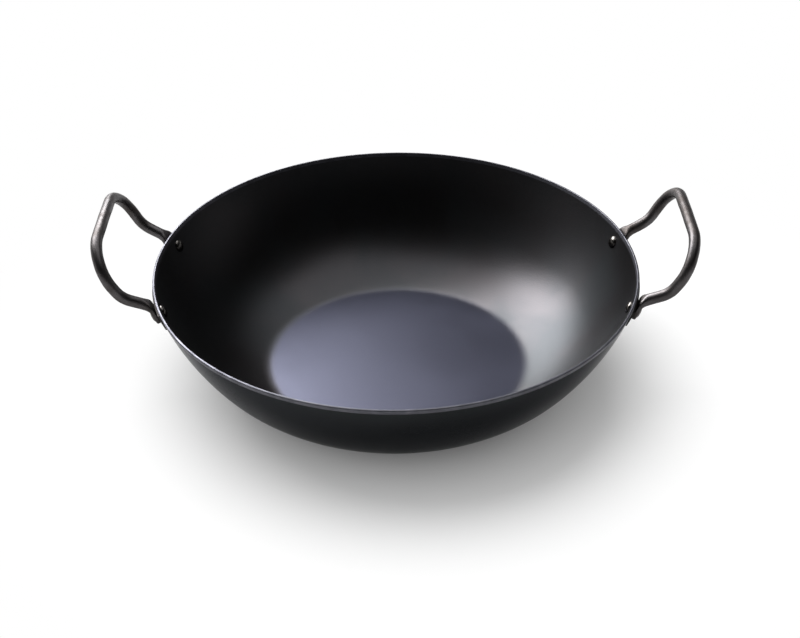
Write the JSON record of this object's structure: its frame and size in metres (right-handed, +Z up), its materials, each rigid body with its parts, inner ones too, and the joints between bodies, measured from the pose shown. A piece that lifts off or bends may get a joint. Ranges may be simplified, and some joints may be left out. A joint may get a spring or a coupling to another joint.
{
  "type": "kadai pan",
  "caption": "Round sheet-steel kadai with a flat base, a flaring wall and a riveted loop handle of round bar on each side.",
  "frame": {"origin": "middle of the flat base, on the surface that the pan stands on", "axes": "+Z up along the bowl's axis, +X towards the right handle, -X towards the left handle, +Y to the back"},
  "size_m": [0.3616, 0.2996, 0.1126],
  "materials": {
    "bowl_steel": "pressed sheet steel, blued to a satin blue-black",
    "handle_steel": "bare bar, oxidised brown-grey, smooth",
    "strap_steel": "blued strip, satin",
    "rivet_steel": "blued rivet, domed head, satin"
  },
  "bodies": {
    "root": {"bowl": "bowl_steel", "handle_right": "handle_steel", "strap_right": "strap_steel", "rivet_right_back": "rivet_steel", "rivet_right_front": "rivet_steel", "handle_left": "handle_steel", "strap_left": "strap_steel", "rivet_left_back": "rivet_steel", "rivet_left_front": "rivet_steel"}
  },
  "joints": []
}
